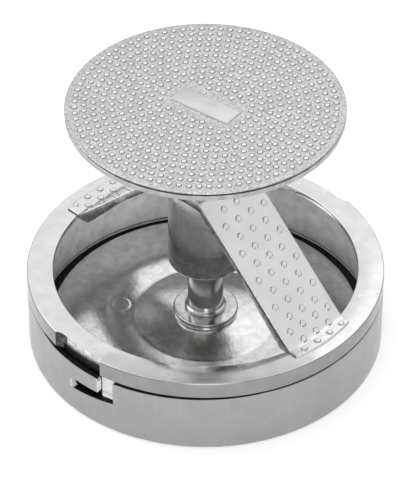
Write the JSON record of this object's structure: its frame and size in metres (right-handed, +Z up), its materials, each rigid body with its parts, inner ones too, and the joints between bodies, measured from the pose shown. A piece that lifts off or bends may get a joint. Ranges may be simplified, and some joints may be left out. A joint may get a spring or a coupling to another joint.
{
  "type": "burger press",
  "caption": "Round hand press: a tray, a mould ring with a bridge that locks on it by a bayonet, and a sliding plunger with a palm disc and a press plate.",
  "frame": {"origin": "centre of the tray's underside, on the axis of the plunger", "axes": "+Z up along the plunger's axis, +X along one leg of the bridge"},
  "size_m": [0.12, 0.12, 0.0955],
  "materials": {
    "satin_tray": "turned and polished, soft satin",
    "polished_ring": "polished",
    "satin_skirt": "spun sheet, satin",
    "cast_bridge": "cast, tumbled bright, with raised bumps",
    "polished_boss": "turned and polished",
    "nylon": "plain white nylon",
    "polished_steel": "ground and polished",
    "cast_plate": "cast, bright, slightly mottled",
    "screw_steel": "plain bright steel",
    "grained_palm": "cast, fine grain, with raised dots",
    "smooth_plaque": "smooth and bright"
  },
  "bodies": {
    "base": {"base_tray": "satin_tray"},
    "mould": {"mould_rim": "polished_ring", "mould_skirt": "satin_skirt", "bayonet_lug_front": "polished_ring", "bayonet_lug_back": "polished_ring", "bridge_strap": "cast_bridge", "guide_boss": "polished_boss", "lower_bush": "nylon", "upper_bush": "nylon"},
    "stop": {"stop_washer": "polished_steel"},
    "plunger": {"plunger_rod": "polished_steel", "press_plate": "cast_plate", "plate_screw": "screw_steel", "palm_disc": "grained_palm", "palm_plaque": "smooth_plaque", "palm_grub_screw": "screw_steel"}
  },
  "joints": [
    {"name": "bayonet_turn", "type": "hinge", "parent": "base", "child": "mould", "pos_m": [0, 0, 0], "axis": [0, 0, 1], "range_deg": [-12, 0]},
    {"name": "plunger_slide", "type": "slide", "parent": "mould", "child": "stop", "axis": [0, 0, 1], "range_m": [0, 0.02]},
    {"name": "plunger_spin", "type": "hinge", "parent": "stop", "child": "plunger", "pos_m": [0, 0, 0], "axis": [0, 0, 1], "continuous": true}
  ]
}
